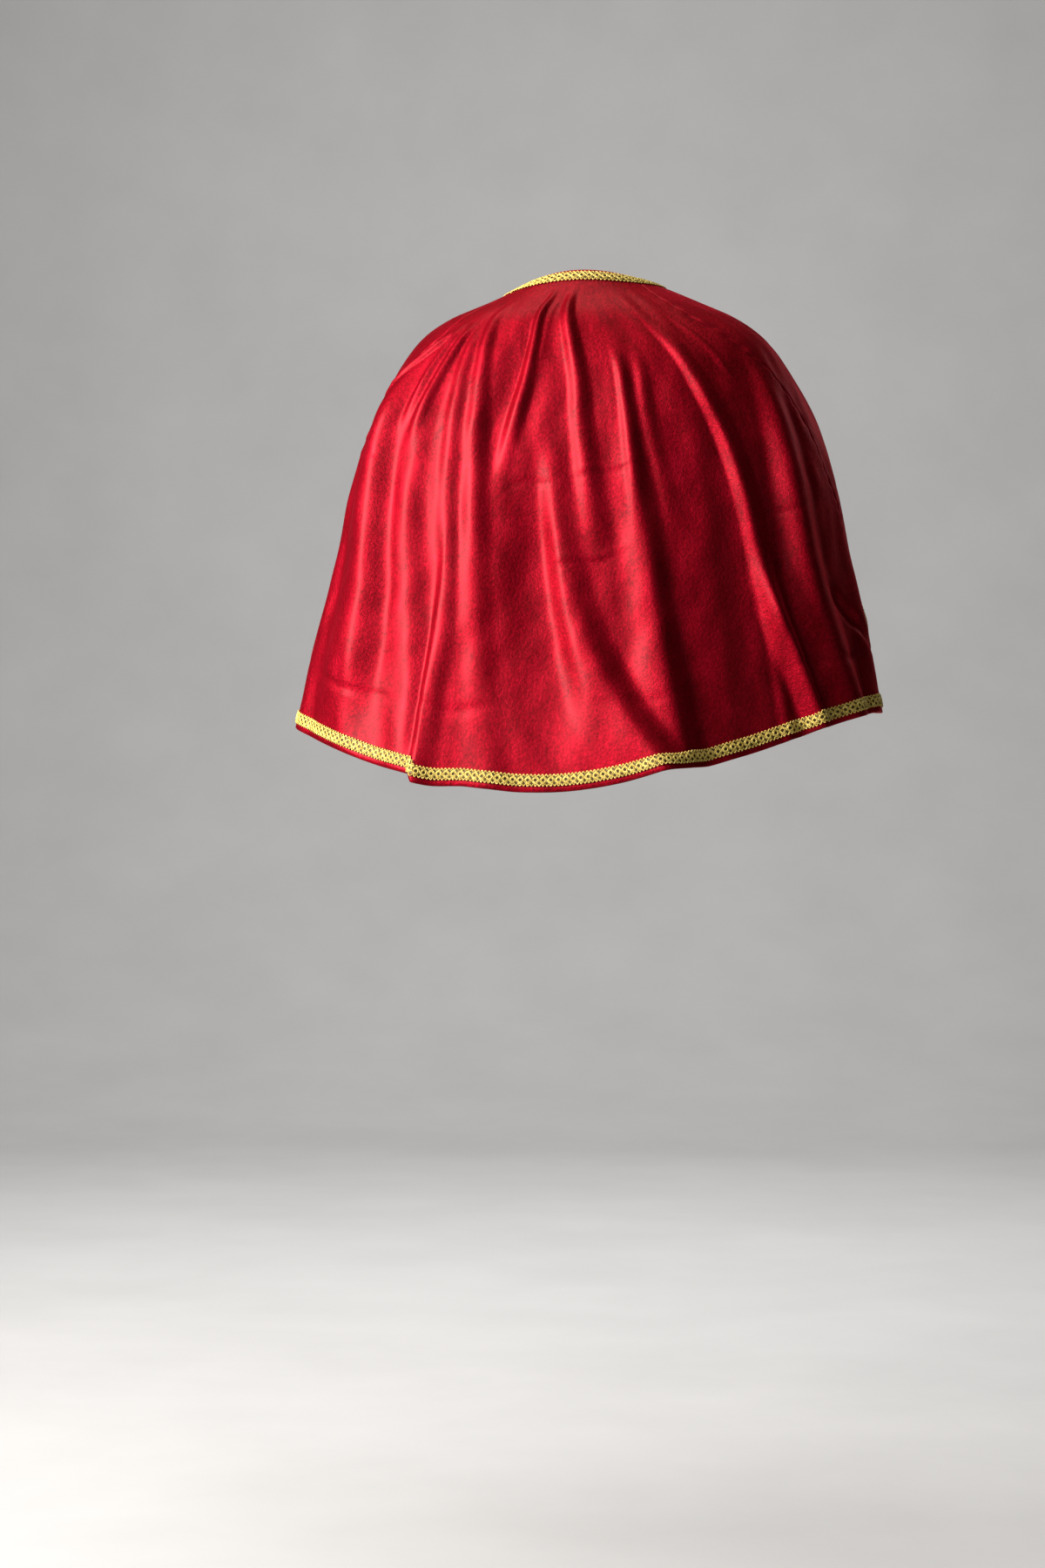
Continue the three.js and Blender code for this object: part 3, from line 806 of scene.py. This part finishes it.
def acrossRoute(fromTop, margin):
    # round the whole cape at a set distance from the neck edge or the hem
    level = 0.0 if fromTop else 1.0
    row = 0 if fromTop else -1
    ends = [-math.radians(levels["rightEdge"][row]), math.radians(levels["leftEdge"][row])]
    inset = [braid["frontMargin"] / spreadRound(np.array([end]), np.array([level]))[0] for end in ends]
    angle = np.linspace(ends[0] + inset[0], ends[1] - inset[1], braid["acrossSamples"])
    distance = margin + braid["width"] / 2
    run = distance / spreadDown(angle, np.full_like(angle, level))
    return braidRoute(angle, run if fromTop else 1 - run)


def frontRoute(name, way):
    # down a front edge, between the neck braid and the hem braid
    down = np.linspace(0, 1, braid["frontSamples"])
    edge = way * np.radians(atLevel(name, down))
    angle = edge - way * (braid["frontMargin"] + braid["width"] / 2) / spreadRound(edge, down)
    points = clothPoint(angle, down)
    length = np.concatenate([[0], np.cumsum(np.linalg.norm(np.diff(points, axis=0), axis=1))])
    begin = braid["neckMargin"] + braid["width"] + braid["cornerGap"]
    end = length[-1] - braid["hemMargin"] - braid["width"] - braid["cornerGap"]
    keep = (length >= begin) & (length <= end)
    return braidRoute(angle[keep], down[keep])


neckBraid = layBraid("gold_neck_braid", acrossRoute(True, braid["neckMargin"]))
hemBraid = layBraid("gold_hem_braid", acrossRoute(False, braid["hemMargin"]))
frontBraidRight = layBraid("gold_front_braid_right", frontRoute("rightEdge", -1))
frontBraidLeft = layBraid("gold_front_braid_left", frontRoute("leftEdge", 1))
braids = (neckBraid, hemBraid, frontBraidRight, frontBraidLeft)
print("braids laid:", [len(piece.data.polygons) for piece in braids])

pieces = [
    (back, ["back"], "velvet"),
    (frontRight, ["front_right"], "velvet"),
    (frontLeft, ["front_left"], "velvet"),
    (neckBraid, ["neck_braid"], "gold_braid"),
    (hemBraid, ["hem_braid"], "gold_braid"),
    (frontBraidRight, ["front_braid_right"], "gold_braid"),
    (frontBraidLeft, ["front_braid_left"], "gold_braid"),
]
for piece, nodes, slot in pieces:
    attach(piece, "root")
    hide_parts(*nodes)
for node in ("hook", "eye"):
    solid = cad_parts[node]
    for materialSlot in solid.material_slots:
        materialSlot.material = platedWire
camera = {
    "distance": 4.0,  # from the axis of the cape
    "turn": 192.0,  # degrees round from the front
    "aside": 0.070,  # the axis stands this far right of the middle of the view
    "height": -0.595,
    "lens": 76.2,
    "sensor": 36.0,  # on the long side of the frame
}


def placeCamera():
    turn = math.radians(camera["turn"])
    towards = (math.sin(turn), -math.cos(turn))  # from the cape to the camera
    rightward = (-towards[1], towards[0])
    data = bpy.data.cameras.new("camera")
    data.sensor_fit = "VERTICAL"
    data.sensor_height = camera["sensor"]
    data.sensor_width = camera["sensor"]
    data.lens = camera["lens"]
    eye = bpy.data.objects.new("camera", data)
    eye.location = (towards[0] * camera["distance"] - rightward[0] * camera["aside"],
                    towards[1] * camera["distance"] - rightward[1] * camera["aside"], camera["height"])
    eye.rotation_euler = (math.pi / 2, 0, turn)
    bpy.context.scene.collection.objects.link(eye)
    bpy.context.scene.camera = eye
    return towards, rightward


towards, rightward = placeCamera()

studio = {
    "middle": -0.3,  # height of the middle of the cape, which the lights face
    "floor": -1.475,
    "front": 9.0,  # how far the floor reaches towards the camera and beyond it
    "back": -6.5,  # where the floor has become a wall
    "sweep": 2.5,  # radius of the bend between them
    "wallTop": 6.0,
    "halfWidth": 14.0,
    "bendSteps": 24,
    "floorColour": ((0.39, 0.387, 0.382), (0.42, 0.417, 0.412)),
    "floorStops": (0.3, 0.7),
    "floorCloud": (3, 4, 0.6),
    "floorRoughness": 0.8,
    "sky": (0.86, 0.88, 0.92, 1),
    "skyStrength": 0.045,
}
# right, towards the camera and up of the middle of the cape, size, power and colour of each soft light,
# and the place that it faces
softLights = {
    "key": ((-2.45, 0.92, 1.0), 1.15, 240, (1.0, 0.97, 0.94), (0, 0, 0)),
    "soft": ((-1.4, 2.2, 1.3), 1.6, 28, (1.0, 0.98, 0.96), (0, 0, 0)),
    "fill": ((1.6, 2.6, 0.9), 2.2, 4, (0.95, 0.97, 1.0), (0, 0, 0)),
    "rim": ((1.7, -1.7, 1.0), 0.7, 3, (0.93, 0.93, 1.0), (0, 0, 0)),
    "top": ((-0.5, -0.1, 2.7), 1.8, 58, (1.0, 0.98, 0.97), (0, 0, 0)),
    "backdrop": ((0, -1.6, 2.4), 2.4, 175, (1.0, 1.0, 1.0), (0, -6.5, -0.9)),
}


def inStudio(right, near, up):
    # a place given to the right, towards the camera and up of the middle of the cape
    return np.array([rightward[0] * right + towards[0] * near, rightward[1] * right + towards[1] * near,
                     up + studio["middle"]])


def makeStudio():
    material, tree, shader = newMaterial("pale_floor")
    place = addNode(tree, "ShaderNodeTexCoord")
    cloud = noiseOf(tree, place.outputs["Object"], *studio["floorCloud"])
    colour = colourRamp(tree, cloud, list(zip(studio["floorStops"], studio["floorColour"])))
    tree.links.new(colour, shader.inputs["Base Color"])
    shader.inputs["Roughness"].default_value = studio["floorRoughness"]
    low = studio["floor"] - studio["middle"]
    bend = np.linspace(0, math.pi / 2, studio["bendSteps"] + 1)
    sweep = [(1 - math.sin(turn), 1 - math.cos(turn)) for turn in bend]
    profile = [(studio["front"], low),
               *((studio["back"] + studio["sweep"] * near, low + studio["sweep"] * up) for near, up in sweep),
               (studio["back"], studio["wallTop"])]
    sides = (-studio["halfWidth"], studio["halfWidth"])
    points = np.array([inStudio(side, near, up) / millimetre for near, up in profile for side in sides])
    quads = np.array([(2 * i, 2 * i + 1, 2 * i + 3, 2 * i + 2) for i in range(len(profile) - 1)])
    floor = meshFrom("floor", points, quads, [material])
    for name, (spot, size, power, colour, facing) in softLights.items():
        data = bpy.data.lights.new(name, "AREA")
        data.shape = "SQUARE"
        data.size = size
        data.energy = power
        data.color = colour
        lamp = bpy.data.objects.new(name, data)
        lamp.location = inStudio(*spot)
        aim = inStudio(*facing) - inStudio(*spot)
        level = math.hypot(aim[0], aim[1])
        lamp.rotation_euler = (math.atan2(level, -aim[2]), 0, math.atan2(-aim[0], aim[1]))
        bpy.context.scene.collection.objects.link(lamp)
    world = bpy.data.worlds.new("studio")
    world.use_nodes = True
    background = world.node_tree.nodes["Background"]
    background.inputs["Color"].default_value = studio["sky"]
    background.inputs["Strength"].default_value = studio["skyStrength"]
    bpy.context.scene.world = world
    bpy.context.scene.view_settings.view_transform = "Standard"


makeStudio()
print("studio lit")
